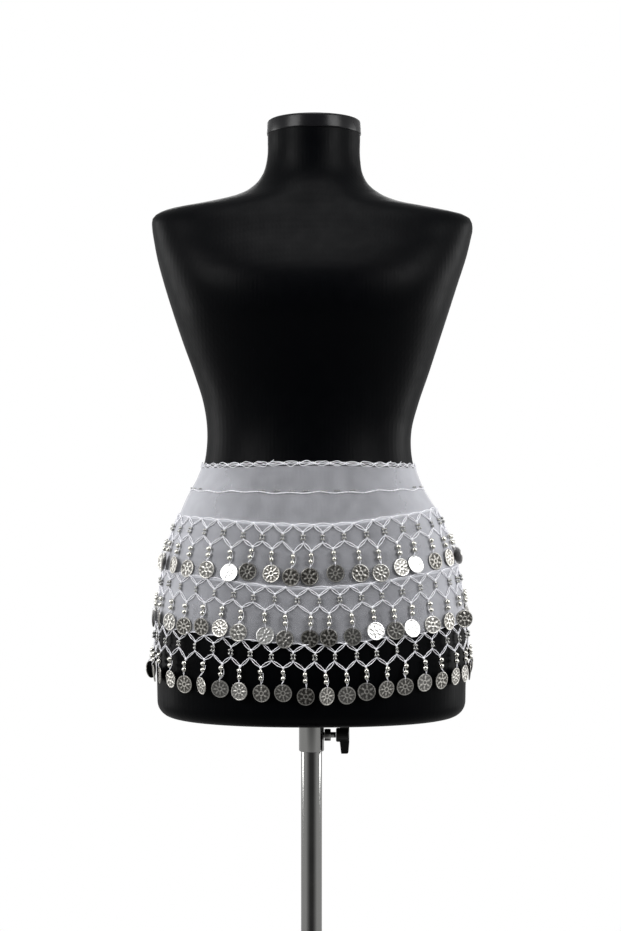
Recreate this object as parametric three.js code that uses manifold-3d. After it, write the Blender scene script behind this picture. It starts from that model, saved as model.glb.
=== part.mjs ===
// A belly dance hip belt tied round a limbless dress form on a short adjustable stand.
//
// Units are millimetres. +Z is up, the form's front faces -Y, and the origin is the centre of
// the base's underside. The form, the belt and the clamp are built in the form's own heights,
// measured up from its flat underside, and one group lifts them all onto the pole.
//
// The belt is cloth walls that follow the form: every belt piece is a patch of the form's
// surface moved outward, between two angles (0 at the front, positive towards +X, 180 at the
// back) and through a short list of levels.

import * as THREE from 'three';
import { mergeVertices } from 'three/addons/utils/BufferGeometryUtils.js';
import Module from 'manifold-3d';

const wasm = await Module();
wasm.setup();

// ---------------------------------------------------------------- driving dimensions

const SEAM_GAP = 0.3;            // between pieces that meet

// Stand
const BASE_RADIUS = 150;
const BASE_THICKNESS = 8;
const BASE_EDGE = 3;             // rounding of the plate's rim
const HUB_FOOT_RADIUS = 27;
const HUB_NECK_RADIUS = 17;
const HUB_HEIGHT = 26;
const POLE_RADIUS = 11.9;
const POLE_CLEARANCE = 0.5;      // radial, in the hub and in the sleeve
const POLE_INSIDE_FORM = 130;    // at the stored height
const FORM_UNDERSIDE = 300;      // height of the form's flat underside above the floor

// Form
const FORM_SIDES = 48;
const UNDERSIDE_ROUNDING = 16.5;
const NECK_TOP = 659.5;
const NECK_CENTRE = { x: 2.8, y: 3 };
const CAP_RADIUS = 53.9;
const CAP_HEIGHT = 16;
const BORE_RADIUS = 12.7;
const BORE_DEPTH = 325;          // room for the pole when the form is at its lowest

// Clamp
const SLEEVE_RADIUS = 14.25;
const SLEEVE_BELOW = 42;         // how far the sleeve reaches below the form
const SLEEVE_INSIDE = 60;
const SLOT_WIDTH = 3;
const SLOT_ANGLE = 52;           // degrees from the front, towards the clamp
const SLOT_BOTTOM = 39;          // below the form's underside
const SCREW_DROP = 24;           // screw axis below the form's underside
const SCREW_RADIUS = 3.25;
const BOSS_RADIUS = 6.9;
const BOSS_END = 22;             // distances along the screw, from the pole's axis
const KNOB_START = 28;
const WING_START = 32.6;
const KNOB_END = 43;
const KNOB_RADIUS = 8;
const WING_LENGTH = 21;          // from the screw's axis to a wing's tip
const WING_THICKNESS = 7;

// Belt
const CLOTH_CLEARANCE = 1;       // from the form to the inside of the cloth
const CLOTH_THICKNESS = 1.2;
const CLOTH_OUTSIDE = CLOTH_CLEARANCE + CLOTH_THICKNESS;
const BACK_GAP = 22.5;           // degrees from the centre of the back to each end of the cloth
const BELT_SEGMENTS = 42;
const EDGING_HEIGHT = 5.5;
const BRAID_HEIGHT = 3;
const TRIM_CLEARANCE = 0.6;      // from the cloth to what is sewn on it
const TRIM_THICKNESS = 1.2;
const TIE_BAND = 44;             // height of the cloth's top band that is gathered into the ties
const KNOT = { width: 26, height: 30, depth: 17, drop: 21 };
const TAIL_LENGTH = 150;

// ---------------------------------------------------------------- tables

// The form's cross-sections, bottom to top: half-widths to each side of the pole's axis,
// half-depths to the front and back, and the power of the superellipse that joins them.
const FORM_ROWS = [
  { z: 0, left: 174.6, right: 174.6, front: 117, back: 118, power: 2.25 },
  { z: 32, left: 175.3, right: 175.1, front: 118, back: 119, power: 2.25 },
  { z: 73, left: 176, right: 175.8, front: 118, back: 123, power: 2.25 },
  { z: 107, left: 173.8, right: 172.9, front: 116, back: 125, power: 2.25 },
  { z: 141, left: 170.2, right: 168.9, front: 114, back: 125, power: 2.22 },
  { z: 175, left: 164.8, right: 161.8, front: 111, back: 121, power: 2.2 },
  { z: 209, left: 155.7, right: 151.2, front: 106, back: 114, power: 2.18 },
  { z: 232, left: 146.4, right: 140.4, front: 101, back: 107.5, power: 2.15 },
  { z: 250, left: 138, right: 129.8, front: 96.5, back: 101.5, power: 2.12 },
  { z: 268, left: 128.4, right: 120.8, front: 92, back: 95.5, power: 2.1 },
  { z: 284, left: 122.4, right: 115.8, front: 88.8, back: 90.8, power: 2.1 },
  { z: 300, left: 119.6, right: 113.4, front: 87, back: 87.6, power: 2.1 },
  { z: 322, left: 118.7, right: 113.8, front: 86, back: 85.6, power: 2.1 },
  { z: 353, left: 122.8, right: 121.6, front: 88, back: 85.6, power: 2.15 },
  { z: 387, left: 133.3, right: 133.2, front: 95, back: 88.5, power: 2.2 },
  { z: 421, left: 145.6, right: 144.2, front: 107, back: 94, power: 2.3 },
  { z: 456, left: 157.2, right: 155.4, front: 119.5, back: 99.5, power: 2.45 },
  { z: 490, left: 167.6, right: 166.2, front: 118, back: 102, power: 2.6 },
  { z: 517, left: 174.8, right: 175, front: 104, back: 101, power: 2.7 },
  { z: 538, left: 178.8, right: 180.3, front: 90, back: 98, power: 2.75 },
  { z: 551.5, left: 180.8, right: 182.8, front: 82, back: 94.5, power: 2.8 },
  { z: 558.5, left: 181, right: 181.5, front: 78, back: 92, power: 2.8 },
  { z: 565, left: 178.4, right: 175.5, front: 74, back: 89, power: 2.7 },
  { z: 572, left: 164, right: 146, front: 70, back: 85, power: 2.5 },
  { z: 579, left: 128, right: 110, front: 66.5, back: 80.5, power: 2.3 },
  { z: 586, left: 96.8, right: 88.6, front: 63, back: 75.5, power: 2.15 },
  { z: 593, left: 77.6, right: 75.9, front: 59.5, back: 70.5, power: 2.08 },
  { z: 601, left: 66, right: 66.4, front: 56, back: 65.5, power: 2.03 },
  { z: 614, left: 55.8, right: 58.6, front: 52.2, back: 60, power: 2 },
  { z: 630, left: 51, right: 55.7, front: 50.2, back: 56.6, power: 2 },
  { z: NECK_TOP, left: 49.9, right: 55.5, front: 49.8, back: 55.8, power: 2 },
];

// Lines round the belt: heights at the centre of the front and at each side. Behind the
// sides a line stays level.
const BELT_LINES = {
  top: { front: 283, left: 280, right: 280 },
  braid: { front: 253.4, left: 255.1, right: 257.3 },
  fringeUpper: { front: 218.2, left: 226.6, right: 234.5 },
  fringeMiddle: { front: 151.2, left: 166.1, right: 169.6 },
  hem: { front: 90.8, left: 105, right: 107 },
};

// Shares of the way from the top edge to the hem, closer together where the waist curves in.
const PANEL_LEVELS = [0, 0.05, 0.1, 0.16, 0.23, 0.31, 0.4, 0.5, 0.6, 0.7, 0.8, 0.9, 1];

// A sewn-on fringe: thread net at the top, then the reach of its beads and coins. The lower
// part stands far enough out to pass over the thread net of the next fringe down.
const SEWN_FRINGE = [
  { drop: 0, inner: 2.8, outer: 3.8 },
  { drop: 13, inner: 2.8, outer: 3.8 },
  { drop: 26, inner: 2.8, outer: 3.8 },
  { drop: 33, inner: 4.2, outer: 9 },
  { drop: 49, inner: 4.2, outer: 9 },
  { drop: 64, inner: 4.2, outer: 9 },
];

// The hem's fringe hangs in the cloth's own layer and then reaches out in the same way.
const HUNG_FRINGE = [
  { drop: SEAM_GAP, inner: 1, outer: 2.2 },
  { drop: 13, inner: 1, outer: 2.2 },
  { drop: 26, inner: 1, outer: 2.2 },
  { drop: 33, inner: 2.2, outer: 7.4 },
  { drop: 49, inner: 2.2, outer: 7.4 },
  { drop: 64, inner: 2.2, outer: 7.4 },
];

// A tie, from the cloth's end to the knot: the share of the way, and the band's height and
// thickness as it gathers.
const TIE_SECTIONS = [
  { share: 0, tall: TIE_BAND, thick: 2 },
  { share: 0.3, tall: 35, thick: 4 },
  { share: 0.65, tall: 22, thick: 7 },
  { share: 1, tall: 15, thick: 9 },
];

// Free ends below the knot: drop from the tail's top, and its edges in degrees from the
// centre of the back.
const TAIL_LEVELS = [
  { share: 0, near: 1, far: 6 },
  { share: 0.15, near: 1, far: 8.5 },
  { share: 0.4, near: 1.4, far: 11 },
  { share: 0.7, near: 1.8, far: 13 },
  { share: 1, near: 2.2, far: 14.5 },
];

// ---------------------------------------------------------------- the form's surface

const DEGREE = Math.PI / 180;
const SECTION_COLUMNS = ['left', 'right', 'front', 'back', 'power'];

// Slope of one column at a row: the slope of the parabola through the row and its neighbours.
function columnSlope(row, column) {
  const here = FORM_ROWS[row];
  const below = FORM_ROWS[Math.max(row - 1, 0)];
  const above = FORM_ROWS[Math.min(row + 1, FORM_ROWS.length - 1)];
  const stepDown = here.z - below.z;
  const stepUp = above.z - here.z;
  if (stepDown === 0) return (above[column] - here[column]) / stepUp;
  if (stepUp === 0) return (here[column] - below[column]) / stepDown;
  const slopeDown = (here[column] - below[column]) / stepDown;
  const slopeUp = (above[column] - here[column]) / stepUp;
  return (slopeDown * stepUp + slopeUp * stepDown) / (stepDown + stepUp);
}

// The form's cross-section at a height: a cubic between the two rows around it.
function sectionAt(z) {
  let row = FORM_ROWS.findIndex((candidate) => candidate.z > z) - 1;
  if (row < 0) row = z < FORM_ROWS[0].z ? 0 : FORM_ROWS.length - 2;
  const low = FORM_ROWS[row];
  const high = FORM_ROWS[row + 1];
  const step = high.z - low.z;
  const t = (z - low.z) / step;
  const section = {};
  for (const column of SECTION_COLUMNS) {
    const start = columnSlope(row, column) * step;
    const end = columnSlope(row + 1, column) * step;
    section[column] = low[column] * (1 + 2 * t) * (1 - t) ** 2
      + start * t * (1 - t) ** 2
      + high[column] * (3 - 2 * t) * t ** 2
      + end * (t - 1) * t ** 2;
  }
  return section;
}

// A point at an angle and height, moved out from the form's surface along its level normal.
function formPoint(angle, z, offset) {
  const section = sectionAt(z);
  const across = Math.sin(angle * DEGREE);
  const ahead = Math.cos(angle * DEGREE);
  const width = across < 0 ? section.left : section.right;
  const depth = ahead < 0 ? section.back : section.front;
  const { power } = section;
  const reach = ((Math.abs(across) / width) ** power + (Math.abs(ahead) / depth) ** power) ** (-1 / power);
  const x = reach * across;
  const y = -reach * ahead;
  const normal = new THREE.Vector2(
    Math.sign(x) * (Math.abs(x) / width) ** (power - 1) / width,
    Math.sign(y) * (Math.abs(y) / depth) ** (power - 1) / depth,
  ).normalize();
  return new THREE.Vector3(x + normal.x * offset, y + normal.y * offset, z);
}

// Height of a belt line at an angle.
function lineHeight(line, angle) {
  const side = Math.sin(angle * DEGREE) < 0 ? line.left : line.right;
  const frontShare = Math.max(0, Math.cos(angle * DEGREE)) ** 2;
  return side + (line.front - side) * frontShare;
}

// ---------------------------------------------------------------- solids

function geometryFrom(points, indices) {
  const geometry = new THREE.BufferGeometry();
  geometry.setAttribute('position', new THREE.Float32BufferAttribute(points.flatMap((p) => p.toArray()), 3));
  geometry.setIndex(indices);
  return geometry;
}

// A closed loft through rings of equal length, with flat ends. Each ring runs anticlockwise
// seen from where the loft is heading.
function loft(rings) {
  const sides = rings[0].length;
  const points = rings.flat();
  const indices = [];
  for (let ring = 0; ring + 1 < rings.length; ring += 1) {
    for (let side = 0; side < sides; side += 1) {
      const a = ring * sides + side;
      const b = ring * sides + ((side + 1) % sides);
      indices.push(a, b, b + sides, a, b + sides, a + sides);
    }
  }
  const firstCentre = centreOf(rings[0]);
  const lastCentre = centreOf(rings.at(-1));
  points.push(firstCentre, lastCentre);
  const lastRing = (rings.length - 1) * sides;
  for (let side = 0; side < sides; side += 1) {
    const next = (side + 1) % sides;
    indices.push(points.length - 2, next, side);
    indices.push(points.length - 1, lastRing + side, lastRing + next);
  }
  return geometryFrom(points, indices);
}

function centreOf(ring) {
  const centre = new THREE.Vector3();
  ring.forEach((point) => centre.add(point));
  return centre.divideScalar(ring.length);
}

// A cloth wall over a patch of the form. Each level has a height (a function of the angle),
// the angles where it starts and ends, and how far its two faces stand off the form.
function formPatch(levels, segments) {
  const columns = segments + 1;
  const points = [];
  for (const face of ['outer', 'inner']) {
    for (const level of levels) {
      for (let column = 0; column < columns; column += 1) {
        const angle = THREE.MathUtils.lerp(level.from, level.to, column / segments);
        points.push(formPoint(angle, level.height(angle), level[face]));
      }
    }
  }
  const at = (inside, level, column) => (inside * levels.length + level) * columns + column;
  const indices = [];
  const quad = (a, b, c, d) => indices.push(a, b, c, a, c, d);
  const last = levels.length - 1;
  for (let column = 0; column < segments; column += 1) {
    for (let level = 0; level < last; level += 1) {
      quad(at(0, level, column), at(0, level + 1, column), at(0, level + 1, column + 1), at(0, level, column + 1));
      quad(at(1, level, column), at(1, level, column + 1), at(1, level + 1, column + 1), at(1, level + 1, column));
    }
    quad(at(0, 0, column), at(0, 0, column + 1), at(1, 0, column + 1), at(1, 0, column));
    quad(at(0, last, column), at(1, last, column), at(1, last, column + 1), at(0, last, column + 1));
  }
  for (let level = 0; level < last; level += 1) {
    quad(at(0, level, 0), at(1, level, 0), at(1, level + 1, 0), at(0, level + 1, 0));
    quad(at(0, level, segments), at(0, level + 1, segments), at(1, level + 1, segments), at(1, level, segments));
  }
  return geometryFrom(points, indices);
}

// A solid of revolution about Z from [radius, height] pairs.
function revolved(profile, segments) {
  const outline = profile.map(([radius, height]) => new THREE.Vector2(radius, height));
  const geometry = new THREE.LatheGeometry(outline, segments);
  return geometry.rotateX(Math.PI / 2);
}

// A cylinder about Z between two heights.
function cylinderZ(radius, bottom, top, sides = 32) {
  const geometry = new THREE.CylinderGeometry(radius, radius, top - bottom, sides);
  return geometry.rotateX(Math.PI / 2).translate(0, 0, (bottom + top) / 2);
}

// A cylinder about the screw's axis between two distances from the pole's axis.
function cylinderX(radius, start, end, sides = 24) {
  const geometry = new THREE.CylinderGeometry(radius, radius, end - start, sides);
  return geometry.rotateZ(Math.PI / 2).translate((start + end) / 2, 0, -SCREW_DROP);
}

// Manifold wants a closed mesh with shared vertices and no triangle that has lost its area.
function toManifold(geometry) {
  const bare = geometry.clone();
  bare.deleteAttribute('normal');
  bare.deleteAttribute('uv');
  const merged = mergeVertices(bare);
  const corners = merged.index.array;
  const kept = [];
  for (let i = 0; i < corners.length; i += 3) {
    const [a, b, c] = corners.slice(i, i + 3);
    if (a !== b && b !== c && c !== a) kept.push(a, b, c);
  }
  return new wasm.Manifold(new wasm.Mesh({
    numProp: 3,
    vertProperties: new Float32Array(merged.attributes.position.array),
    triVerts: new Uint32Array(kept),
  }));
}

function fromManifold(solid) {
  const mesh = solid.getMesh();
  const geometry = new THREE.BufferGeometry();
  geometry.setAttribute('position', new THREE.Float32BufferAttribute(mesh.vertProperties, 3));
  geometry.setIndex([...mesh.triVerts]);
  return geometry;
}

// One geometry less others.
function cut(geometry, ...tools) {
  const solid = tools.reduce((left, tool) => left.subtract(toManifold(tool)), toManifold(geometry));
  return fromManifold(solid);
}

// ---------------------------------------------------------------- stand

function basePlate() {
  return revolved([
    [0, 0],
    [BASE_RADIUS - BASE_EDGE / 2, 0],
    [BASE_RADIUS, BASE_EDGE / 2],
    [BASE_RADIUS, BASE_THICKNESS - BASE_EDGE],
    [BASE_RADIUS - BASE_EDGE, BASE_THICKNESS],
    [0, BASE_THICKNESS],
  ], 64);
}

function baseHub() {
  const bottom = BASE_THICKNESS + SEAM_GAP;
  const top = BASE_THICKNESS + HUB_HEIGHT;
  const inside = POLE_RADIUS + POLE_CLEARANCE;
  return revolved([
    [inside, bottom],
    [HUB_FOOT_RADIUS, bottom],
    [HUB_FOOT_RADIUS, bottom + 3],
    [HUB_NECK_RADIUS + 2, bottom + 8],
    [HUB_NECK_RADIUS, bottom + 12],
    [HUB_NECK_RADIUS, top - 1],
    [HUB_NECK_RADIUS - 1, top],
    [inside, top],
    [inside, bottom],
  ], 32);
}

function pole() {
  return cylinderZ(POLE_RADIUS, BASE_THICKNESS + SEAM_GAP, FORM_UNDERSIDE + POLE_INSIDE_FORM);
}

// ---------------------------------------------------------------- form

// Heights and insets of the rings that round the underside into the sides.
function undersideRings() {
  return [0, 30, 60].map((turn) => ({
    z: UNDERSIDE_ROUNDING * (1 - Math.cos(turn * DEGREE)),
    inset: UNDERSIDE_ROUNDING * (1 - Math.sin(turn * DEGREE)),
  }));
}

function formTorso() {
  const levels = [...undersideRings(), { z: UNDERSIDE_ROUNDING, inset: 0 }];
  FORM_ROWS.filter((row) => row.z > UNDERSIDE_ROUNDING).forEach((row) => levels.push({ z: row.z, inset: 0 }));
  const rings = levels.map(({ z, inset }) => {
    const ring = [];
    for (let side = 0; side < FORM_SIDES; side += 1) {
      ring.push(formPoint(side * (360 / FORM_SIDES), z, -inset));
    }
    return ring;
  });
  const sleeveRoom = cylinderZ(SLEEVE_RADIUS + 1.5 * SEAM_GAP, -1, SLEEVE_INSIDE + SEAM_GAP);
  const poleRoom = cylinderZ(BORE_RADIUS, -1, BORE_DEPTH);
  return cut(loft(rings), sleeveRoom, poleRoom);
}

function neckCap() {
  const bottom = NECK_TOP + SEAM_GAP;
  const top = bottom + CAP_HEIGHT;
  const cap = revolved([
    [0, bottom],
    [CAP_RADIUS - 0.6, bottom],
    [CAP_RADIUS, bottom + 0.8],
    [CAP_RADIUS - 0.4, top - 2],
    [CAP_RADIUS - 1.8, top - 0.4],
    [0, top],
  ], 48);
  return cap.translate(NECK_CENTRE.x, NECK_CENTRE.y, 0);
}

// ---------------------------------------------------------------- clamp

function poleSleeve() {
  const inside = POLE_RADIUS + POLE_CLEARANCE;
  const tube = revolved([
    [inside, -SLEEVE_BELOW],
    [SLEEVE_RADIUS - 0.6, -SLEEVE_BELOW],
    [SLEEVE_RADIUS, 0.8 - SLEEVE_BELOW],
    [SLEEVE_RADIUS, SLEEVE_INSIDE],
    [inside, SLEEVE_INSIDE],
    [inside, -SLEEVE_BELOW],
  ], 32);
  const slotLength = SLOT_BOTTOM + 10;
  const slot = new THREE.BoxGeometry(SLOT_WIDTH, 8, slotLength);
  slot.translate(0, -SLEEVE_RADIUS, slotLength / 2 - SLOT_BOTTOM);
  slot.rotateZ(SLOT_ANGLE * DEGREE);
  const screwHole = cylinderX(SCREW_RADIUS + SEAM_GAP, 5, BOSS_END);
  return cut(tube, slot, screwHole);
}

function clampBoss() {
  const nut = cylinderX(BOSS_RADIUS, 8, BOSS_END, 6);
  const sleeveRoom = cylinderZ(SLEEVE_RADIUS + 1.5 * SEAM_GAP, -SLEEVE_BELOW, 0);
  const screwHole = cylinderX(SCREW_RADIUS + SEAM_GAP, 5, BOSS_END + 1);
  return cut(nut, sleeveRoom, screwHole);
}

function clampScrew() {
  return cylinderX(SCREW_RADIUS, POLE_RADIUS + POLE_CLEARANCE, KNOB_START - SEAM_GAP);
}

// One wing's outline from the screw's axis, drawn as [distance along the screw, height].
function wingOutline(direction) {
  const outline = new THREE.Shape();
  outline.moveTo(WING_START - 0.6, 0);
  outline.lineTo(WING_START - 0.4, direction * KNOB_RADIUS);
  outline.lineTo(WING_START + 1, direction * (WING_LENGTH - 1));
  outline.quadraticCurveTo(WING_START + 1.1, direction * WING_LENGTH, WING_START + 2, direction * WING_LENGTH);
  outline.lineTo(KNOB_END - 3, direction * WING_LENGTH);
  outline.quadraticCurveTo(KNOB_END - 1, direction * WING_LENGTH, KNOB_END - 0.8, direction * (WING_LENGTH - 3));
  outline.lineTo(KNOB_END, direction * KNOB_RADIUS);
  outline.lineTo(KNOB_END, 0);
  outline.closePath();
  return outline;
}

function wingKnob() {
  const hub = revolved([
    [0, KNOB_START],
    [KNOB_RADIUS - 1, KNOB_START],
    [KNOB_RADIUS, KNOB_START + 1],
    [KNOB_RADIUS, KNOB_END - 1.2],
    [KNOB_RADIUS - 1.6, KNOB_END],
    [0, KNOB_END],
  ], 24);
  hub.rotateY(Math.PI / 2).translate(0, 0, -SCREW_DROP);
  let knob = toManifold(hub);
  for (const direction of [1, -1]) {
    const wing = new THREE.ExtrudeGeometry(wingOutline(direction), {
      depth: WING_THICKNESS,
      bevelEnabled: false,
      curveSegments: 3,
    });
    wing.rotateX(Math.PI / 2).translate(0, WING_THICKNESS / 2, -SCREW_DROP);
    knob = knob.add(toManifold(wing));
  }
  return fromManifold(knob);
}

// ---------------------------------------------------------------- belt

// A level that runs the whole way round the belt, a drop below one of its lines.
function beltLevel(line, drop, inner, outer) {
  return {
    height: (angle) => lineHeight(line, angle) - drop,
    from: BACK_GAP - 180,
    to: 180 - BACK_GAP,
    inner,
    outer,
  };
}

function beltPanel() {
  const levels = PANEL_LEVELS.map((share) => ({
    ...beltLevel(BELT_LINES.top, 0, CLOTH_CLEARANCE, CLOTH_OUTSIDE),
    height: (angle) => THREE.MathUtils.lerp(
      lineHeight(BELT_LINES.top, angle),
      lineHeight(BELT_LINES.hem, angle),
      share,
    ),
  }));
  return formPatch(levels, BELT_SEGMENTS);
}

// The edging stands on the cloth's top edge, in the cloth's own layer.
function topEdging() {
  const levels = [-EDGING_HEIGHT, -SEAM_GAP].map(
    (drop) => beltLevel(BELT_LINES.top, drop, CLOTH_CLEARANCE, CLOTH_OUTSIDE),
  );
  return formPatch(levels, BELT_SEGMENTS);
}

function upperBraid() {
  const inner = CLOTH_OUTSIDE + TRIM_CLEARANCE;
  const levels = [-BRAID_HEIGHT / 2, BRAID_HEIGHT / 2].map(
    (drop) => beltLevel(BELT_LINES.braid, drop, inner, inner + TRIM_THICKNESS),
  );
  return formPatch(levels, BELT_SEGMENTS);
}

function fringe(line, sections) {
  const levels = sections.map(({ drop, inner, outer }) => beltLevel(line, drop, inner, outer));
  return formPatch(levels, BELT_SEGMENTS);
}

// ---------------------------------------------------------------- closing at the back

const KNOT_HEIGHT = BELT_LINES.top.left - KNOT.drop;

// One rounded upright section of a tie, clear of the form.
function tieRing({ tall, thick }, angle, middle, side) {
  const corners = 12;
  const ring = [];
  for (let corner = 0; corner < corners; corner += 1) {
    const turn = side * corner * (360 / corners) * DEGREE;
    const z = middle + Math.sin(turn) * tall / 2;
    const offset = CLOTH_CLEARANCE + thick / 2 + Math.cos(turn) * thick / 2;
    ring.push(formPoint(angle, z, offset));
  }
  return ring;
}

// A tie runs from just past the cloth's end to just short of the knot. side is -1 or 1.
function tie(side) {
  const startAngle = 180 - BACK_GAP + 0.3;
  const endAngle = 180 - 8.5;
  const startMiddle = BELT_LINES.top.left - TIE_BAND / 2 - 1;
  const rings = TIE_SECTIONS.map((section) => tieRing(
    section,
    side * THREE.MathUtils.lerp(startAngle, endAngle, section.share),
    THREE.MathUtils.lerp(startMiddle, KNOT_HEIGHT, section.share),
    -side,
  ));
  return loft(rings);
}

function tieKnot() {
  const knot = new THREE.SphereGeometry(1, 16, 10).rotateX(Math.PI / 2);
  knot.scale(KNOT.width / 2, KNOT.depth / 2, KNOT.height / 2);
  const standOff = CLOTH_CLEARANCE + 2 + KNOT.depth / 2;
  const centre = formPoint(180, KNOT_HEIGHT, standOff);
  return knot.translate(centre.x, centre.y, centre.z);
}

// A free end hangs from under the knot, close to the form. side is -1 or 1.
function tail(side) {
  const top = KNOT_HEIGHT - KNOT.height / 2 - SEAM_GAP;
  const levels = TAIL_LEVELS.map(({ share, near, far }) => ({
    height: () => top - share * TAIL_LENGTH,
    from: side > 0 ? 180 - far : 180 + near,
    to: side > 0 ? 180 - near : 180 + far,
    inner: CLOTH_CLEARANCE,
    outer: CLOTH_OUTSIDE + 0.8,
  }));
  return formPatch(levels, 3);
}

// ---------------------------------------------------------------- assembly

const MATERIALS = {
  jersey: new THREE.MeshStandardMaterial({ color: 0x0d0e10, roughness: 0.85, metalness: 0 }),
  cap: new THREE.MeshStandardMaterial({ color: 0x0a0a0c, roughness: 0.35, metalness: 0 }),
  chrome: new THREE.MeshStandardMaterial({ color: 0xc9c9c7, roughness: 0.12, metalness: 1 }),
  knob: new THREE.MeshStandardMaterial({ color: 0x08080a, roughness: 0.45, metalness: 0 }),
  base: new THREE.MeshStandardMaterial({ color: 0x17181a, roughness: 0.4, metalness: 0.6 }),
  chiffon: new THREE.MeshStandardMaterial({ color: 0xd9d9df, roughness: 0.7, metalness: 0 }),
  thread: new THREE.MeshStandardMaterial({ color: 0xf1f1f3, roughness: 0.8, metalness: 0 }),
  coins: new THREE.MeshStandardMaterial({ color: 0xa9a69c, roughness: 0.35, metalness: 1 }),
};

function piece(name, geometry, material) {
  const mesh = new THREE.Mesh(geometry, material);
  mesh.name = name;
  return mesh;
}

const group = new THREE.Group();
group.add(
  piece('base_plate', basePlate(), MATERIALS.base),
  piece('base_hub', baseHub(), MATERIALS.chrome),
  piece('pole', pole(), MATERIALS.chrome),
);

const onPole = new THREE.Group();
onPole.position.z = FORM_UNDERSIDE;
onPole.add(
  piece('form_torso', formTorso(), MATERIALS.jersey),
  piece('neck_cap', neckCap(), MATERIALS.cap),
  piece('pole_sleeve', poleSleeve(), MATERIALS.chrome),
  piece('clamp_boss', clampBoss(), MATERIALS.chrome),
  piece('clamp_screw', clampScrew(), MATERIALS.chrome),
  piece('wing_knob', wingKnob(), MATERIALS.knob),
  piece('belt_panel', beltPanel(), MATERIALS.chiffon),
  piece('top_edging', topEdging(), MATERIALS.thread),
  piece('upper_braid', upperBraid(), MATERIALS.thread),
  piece('fringe_upper', fringe(BELT_LINES.fringeUpper, SEWN_FRINGE), MATERIALS.coins),
  piece('fringe_middle', fringe(BELT_LINES.fringeMiddle, SEWN_FRINGE), MATERIALS.coins),
  piece('fringe_hem', fringe(BELT_LINES.hem, HUNG_FRINGE), MATERIALS.coins),
  piece('tie_left', tie(-1), MATERIALS.chiffon),
  piece('tie_right', tie(1), MATERIALS.chiffon),
  piece('tie_knot', tieKnot(), MATERIALS.chiffon),
  piece('tail_left', tail(-1), MATERIALS.chiffon),
  piece('tail_right', tail(1), MATERIALS.chiffon),
);
group.add(onPole);

export default group;
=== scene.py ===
# A belly dance hip belt tied round a limbless dress form on a short stand: the finished look.
#
# Blender works in metres. Heights named "height" are the form's own, measured up from its flat
# underside. Angles are in degrees round the form: 0 at the front, positive towards +X, 180 at
# the back. Every belt piece lies on the form's surface, moved outward.

import math

import bpy
import numpy as np
from mathutils import Matrix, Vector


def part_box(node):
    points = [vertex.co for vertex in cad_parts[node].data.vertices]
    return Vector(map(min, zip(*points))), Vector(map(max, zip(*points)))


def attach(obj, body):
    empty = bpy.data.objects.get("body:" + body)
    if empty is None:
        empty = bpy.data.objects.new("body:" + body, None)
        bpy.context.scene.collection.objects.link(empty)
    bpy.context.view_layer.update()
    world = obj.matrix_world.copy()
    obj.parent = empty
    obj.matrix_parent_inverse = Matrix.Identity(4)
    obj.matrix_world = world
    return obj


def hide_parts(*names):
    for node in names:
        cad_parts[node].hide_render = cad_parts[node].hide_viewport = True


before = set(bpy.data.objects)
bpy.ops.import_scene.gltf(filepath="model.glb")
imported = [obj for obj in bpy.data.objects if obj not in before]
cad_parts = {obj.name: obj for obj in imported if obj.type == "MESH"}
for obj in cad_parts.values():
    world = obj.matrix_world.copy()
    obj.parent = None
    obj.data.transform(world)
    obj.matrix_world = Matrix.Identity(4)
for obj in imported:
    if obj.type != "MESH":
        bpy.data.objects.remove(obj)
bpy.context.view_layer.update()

# ---------------------------------------------------------------- sizes

MM = 0.001
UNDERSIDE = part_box("form_torso")[0][2]

# The form's cross-sections in millimetres, bottom to top: height, half-widths to the left and
# right, half-depths to the front and back, and the power of the superellipse that joins them.
FORM_ROWS = (
    (0, 174.6, 174.6, 117, 118, 2.25),
    (32, 175.3, 175.1, 118, 119, 2.25),
    (73, 176, 175.8, 118, 123, 2.25),
    (107, 173.8, 172.9, 116, 125, 2.25),
    (141, 170.2, 168.9, 114, 125, 2.22),
    (175, 164.8, 161.8, 111, 121, 2.2),
    (209, 155.7, 151.2, 106, 114, 2.18),
    (232, 146.4, 140.4, 101, 107.5, 2.15),
    (250, 138, 129.8, 96.5, 101.5, 2.12),
    (268, 128.4, 120.8, 92, 95.5, 2.1),
    (284, 122.4, 115.8, 88.8, 90.8, 2.1),
    (300, 119.6, 113.4, 87, 87.6, 2.1),
    (322, 118.7, 113.8, 86, 85.6, 2.1),
    (353, 122.8, 121.6, 88, 85.6, 2.15),
    (387, 133.3, 133.2, 95, 88.5, 2.2),
    (421, 145.6, 144.2, 107, 94, 2.3),
    (456, 157.2, 155.4, 119.5, 99.5, 2.45),
    (490, 167.6, 166.2, 118, 102, 2.6),
    (517, 174.8, 175, 104, 101, 2.7),
    (538, 178.8, 180.3, 90, 98, 2.75),
    (551.5, 180.8, 182.8, 82, 94.5, 2.8),
    (558.5, 181, 181.5, 78, 92, 2.8),
    (565, 178.4, 175.5, 74, 89, 2.7),
    (572, 164, 146, 70, 85, 2.5),
    (579, 128, 110, 66.5, 80.5, 2.3),
    (586, 96.8, 88.6, 63, 75.5, 2.15),
    (593, 77.6, 75.9, 59.5, 70.5, 2.08),
    (601, 66, 66.4, 56, 65.5, 2.03),
    (614, 55.8, 58.6, 52.2, 60, 2),
    (630, 51, 55.7, 50.2, 56.6, 2),
    (659.5, 49.9, 55.5, 49.8, 55.8, 2),
)
NECK_TOP = 659.5 * MM
UNDERSIDE_ROUNDING = 16.5 * MM

# Lines round the belt: heights in millimetres at the centre of the front and at each side.
TOP_LINE = (283, 280, 280)
BRAID_LINE = (253.4, 255.1, 257.3)
UPPER_LINE = (218.2, 226.6, 234.5)
MIDDLE_LINE = (151.2, 166.1, 169.6)
HEM_LINE = (90.8, 105, 107)

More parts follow.
